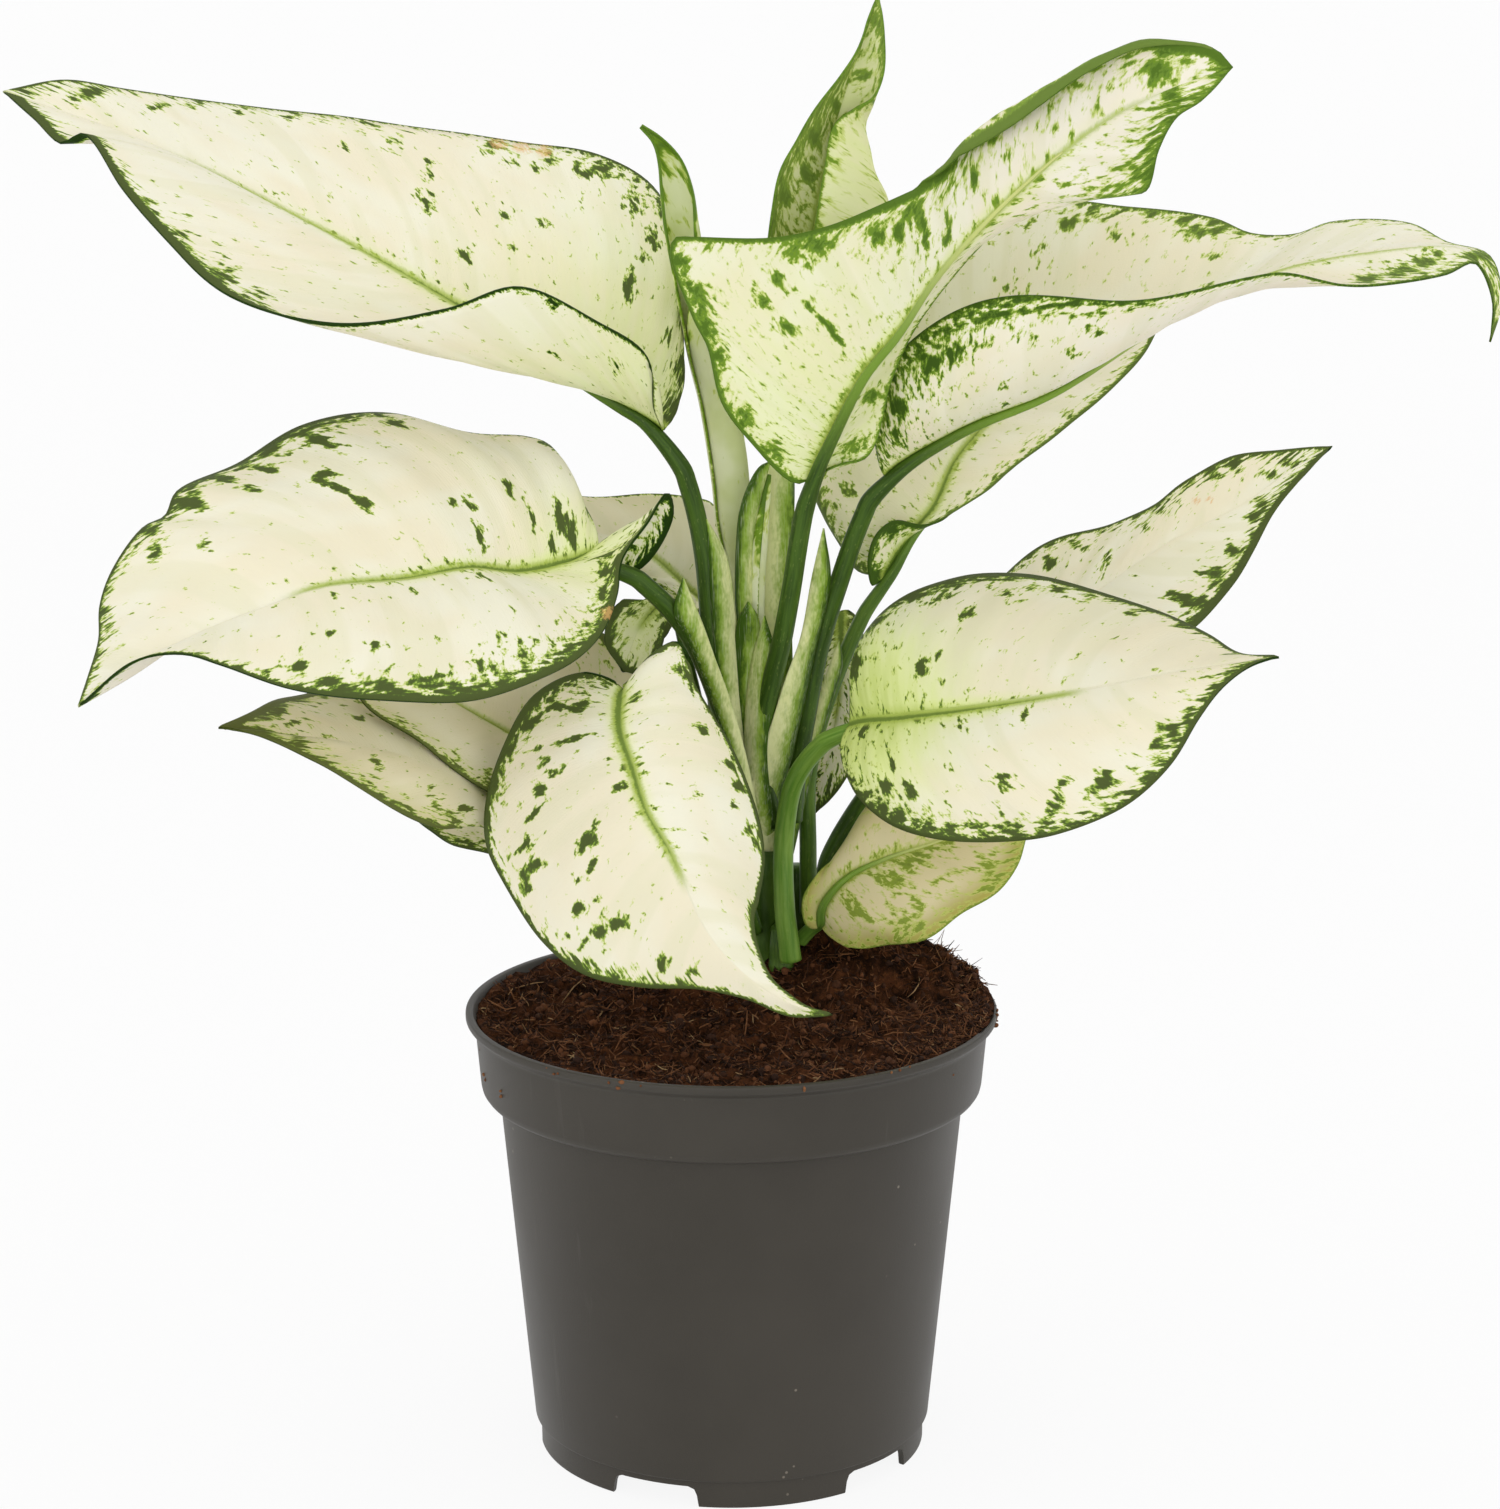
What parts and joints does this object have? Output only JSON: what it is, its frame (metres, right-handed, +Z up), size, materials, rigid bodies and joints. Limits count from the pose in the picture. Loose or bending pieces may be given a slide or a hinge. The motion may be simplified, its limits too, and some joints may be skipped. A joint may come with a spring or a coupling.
{
  "type": "potted chinese evergreen",
  "caption": "Young aglaonema with cream, green-edged leaves on slim stalks, growing from fibrous soil in a plain round plastic nursery pot.",
  "frame": {"origin": "centre of the pot's foot, on the surface that it stands on", "axes": "+Z up; -Y is the plant's front, the side seen in the picture; +X is right seen from the front"},
  "size_m": [0.3293, 0.1329, 0.3271],
  "materials": {
    "pot_plastic": "satin moulded polypropylene, anthracite",
    "soil": "moist fibrous coco and peat mix",
    "stem": "smooth living green stem",
    "leaf": "waxy cream leaf with green flecked margins",
    "young_leaf": "waxy pale green rolled leaf"
  },
  "bodies": {
    "root": {"pot": "pot_plastic", "potting_soil": "soil", "main_cane": "stem", "front_shoot": "stem", "right_shoot": "stem", "left_shoot": "stem", "leaf_upper_left": "leaf", "leaf_centre_right": "leaf", "leaf_far_right": "leaf", "leaf_left": "leaf", "leaf_front": "leaf", "leaf_upright": "leaf", "leaf_right_front": "leaf", "leaf_right_back": "leaf", "leaf_behind_right": "leaf", "leaf_behind_stems": "leaf", "leaf_on_soil": "leaf", "leaf_low_left": "leaf", "leaf_low_left_middle": "leaf", "leaf_low_left_back": "leaf", "leaf_behind_left": "leaf", "leaf_small_left": "leaf", "leaf_small_furled": "young_leaf", "spear_bud": "young_leaf"}
  },
  "joints": []
}
